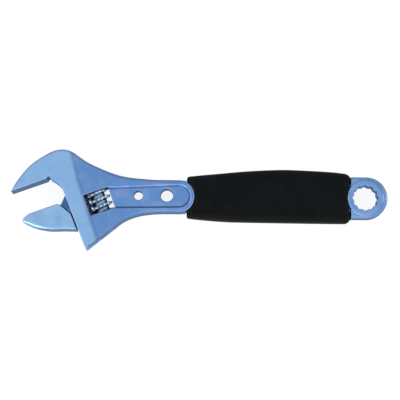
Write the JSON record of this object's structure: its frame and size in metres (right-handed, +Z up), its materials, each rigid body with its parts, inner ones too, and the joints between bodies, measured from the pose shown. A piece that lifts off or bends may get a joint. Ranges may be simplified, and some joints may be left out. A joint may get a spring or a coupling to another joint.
{
  "type": "adjustable wrench",
  "caption": "Adjustable wrench: forged body with ring end, worm-driven sliding jaw and a soft foam grip, lying flat.",
  "frame": {"origin": "centre of the box's underside; the wrench lies flat on it", "axes": "+X along the handle from the jaws to the ring end, +Z up through the wrench's thickness"},
  "size_m": [0.2052, 0.0544, 0.014],
  "materials": {
    "body_steel": "satin, cool blue cast",
    "jaw_steel": "satin, cool blue cast",
    "worm_chrome": "bright, knurled",
    "pin_steel": "satin",
    "spring_steel": "bright wire",
    "grip_foam": "matte, fine-celled"
  },
  "bodies": {
    "frame": {"body": "body_steel", "grip_sleeve": "grip_foam", "worm_pin": "pin_steel", "worm_spring": "spring_steel"},
    "jaw": {"movable_jaw": "jaw_steel"},
    "worm": {"worm": "worm_chrome"}
  },
  "joints": [
    {"name": "jaw_slide", "type": "slide", "parent": "frame", "child": "jaw", "axis": [0.342, -0.9397, 0], "range_m": [-0.0145, 0.0124]},
    {"name": "worm_spin", "type": "hinge", "parent": "frame", "child": "worm", "pos_m": [-0.05415, -0.00098, 0.007], "axis": [-0.342, 0.9397, 0], "range_deg": [-1375, 1176]}
  ],
  "couplings": [
    {"joint": "worm_spin", "follows": "jaw_slide", "rad_per_m": 1653.5}
  ]
}
